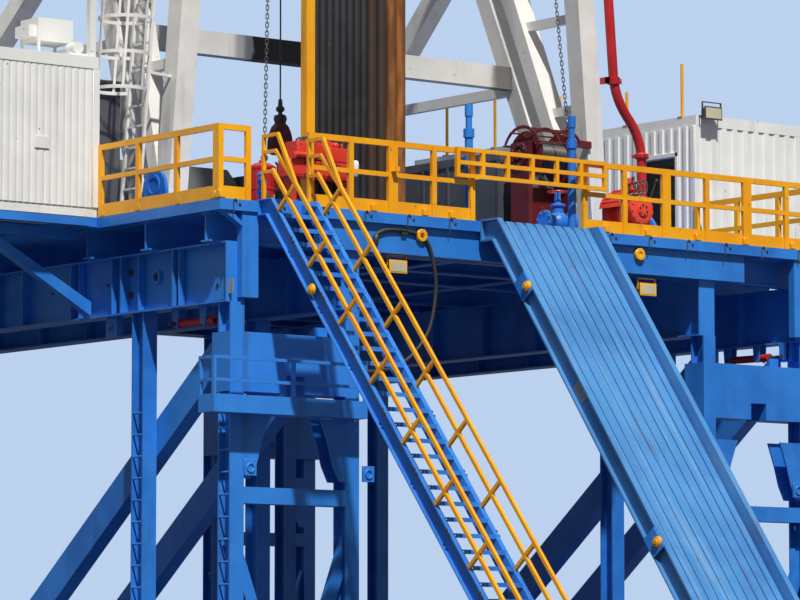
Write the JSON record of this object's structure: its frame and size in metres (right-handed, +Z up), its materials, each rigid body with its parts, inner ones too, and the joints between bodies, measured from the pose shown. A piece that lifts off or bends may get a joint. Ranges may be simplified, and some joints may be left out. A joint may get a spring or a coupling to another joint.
{
  "type": "oil drilling rig, scale model 1:2",
  "caption": "Land drilling rig with a high blue floor on portal towers, a stair, a pipe ramp, yellow rails and a tall pale lattice mast over an A-frame.",
  "frame": {"origin": "on the ground, in the middle of the rig's footprint with its stair and ramp", "axes": "+X to the right along the front edge of the drill floor as seen from the ramp, +Y to the back of the rig, +Z up"},
  "size_m": [8.8806, 11.4008, 26.7798],
  "materials": {
    "blue_paint": "glossy, weathered",
    "yellow_paint": "glossy",
    "pale_paint": "satin, weathered",
    "mast_paint": "satin, weathered",
    "grey_paint": "satin",
    "red_paint": "glossy",
    "dark_red_paint": "glossy, greasy",
    "orange_red_paint": "glossy",
    "pipe_steel": "dark, used"
  },
  "bodies": {
    "rig": {"base_left": "blue_paint", "base_right": "blue_paint", "base_spreaders": "blue_paint", "front_tower_left": "blue_paint", "front_tower_right": "blue_paint", "middle_columns_left": "blue_paint", "middle_columns_right": "blue_paint", "rear_tower_left": "blue_paint", "rear_tower_right": "blue_paint", "diagonal_legs_left": "blue_paint", "diagonal_legs_right": "blue_paint", "girders_left": "blue_paint", "girders_right": "blue_paint", "corner_posts": "blue_paint", "floor_frame": "blue_paint", "floor_joists": "blue_paint", "floor_plates": "blue_paint", "rotary_table": "grey_paint", "lower_platform": "blue_paint", "stair_stringers": "blue_paint", "stair_treads": "blue_paint", "stair_rails": "yellow_paint", "ramp": "blue_paint", "rail_left": "yellow_paint", "rail_front": "yellow_paint", "rail_right": "yellow_paint", "rail_back": "yellow_paint", "vdoor_posts": "blue_paint", "doghouse": "pale_paint", "doghouse_roof": "pale_paint", "doghouse_frame": "blue_paint", "cabin": "pale_paint", "cabin_roof": "pale_paint", "cabin_frame": "blue_paint", "driller_cabin": "grey_paint", "roof_units": "pale_paint", "a_frame_left": "mast_paint", "a_frame_right": "mast_paint", "a_frame_beam": "mast_paint", "mast_left": "mast_paint", "mast_right": "mast_paint", "mast_back": "mast_paint", "crown_block": "mast_paint", "racking_board": "mast_paint", "travelling_block": "yellow_paint", "pipe_stands": "pipe_steel", "pipe_guard": "yellow_paint", "drawworks": "grey_paint", "power_unit": "grey_paint", "winch_frame": "dark_red_paint", "line_winch": "orange_red_paint", "iron_roughneck": "orange_red_paint", "standpipe": "red_paint", "mast_ladder": "mast_paint", "line_hook": "pipe_steel"},
    "gate": {"vdoor_gate": "yellow_paint"},
    "drum": {"winch_drum": "dark_red_paint"}
  },
  "joints": [
    {"name": "gate_slide", "type": "slide", "parent": "rig", "child": "gate", "axis": [1, 0, 0], "range_m": [-1.35, 0]},
    {"name": "drum_turn", "type": "hinge", "parent": "rig", "child": "drum", "pos_m": [1.21, -0.37456, 5.305], "axis": [1, 0, 0], "continuous": true}
  ]
}
